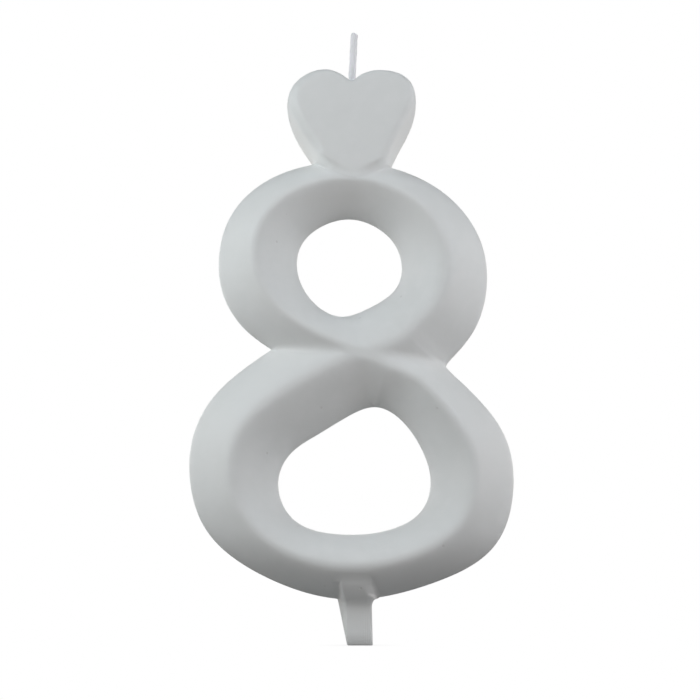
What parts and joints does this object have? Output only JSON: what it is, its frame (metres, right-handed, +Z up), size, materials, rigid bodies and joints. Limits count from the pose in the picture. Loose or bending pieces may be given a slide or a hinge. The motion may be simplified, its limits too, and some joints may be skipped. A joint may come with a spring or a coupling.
{
  "type": "number birthday candle",
  "caption": "White wax number candle shaped as a figure eight, with a heart and a wick on top and a short flat spike that holds it in a cake.",
  "frame": {"origin": "lowest point of the numeral, at the cake's surface, on the axis of the wick and half-way through the thickness", "axes": "+X to the reader's right, +Y through the thickness away from the reader, +Z up towards the wick"},
  "size_m": [0.0538, 0.013, 0.1078],
  "materials": {
    "wax": "satin",
    "wick_cotton": "matte",
    "wick_wax": "satin"
  },
  "bodies": {
    "root": {"numeral_body": "wax", "heart_topper": "wax", "cake_spike": "wax", "wick_strand_1": "wick_cotton", "wick_strand_2": "wick_cotton", "wick_strand_3": "wick_cotton", "wick_coat": "wick_wax", "wick_seal": "wick_wax"}
  },
  "joints": []
}
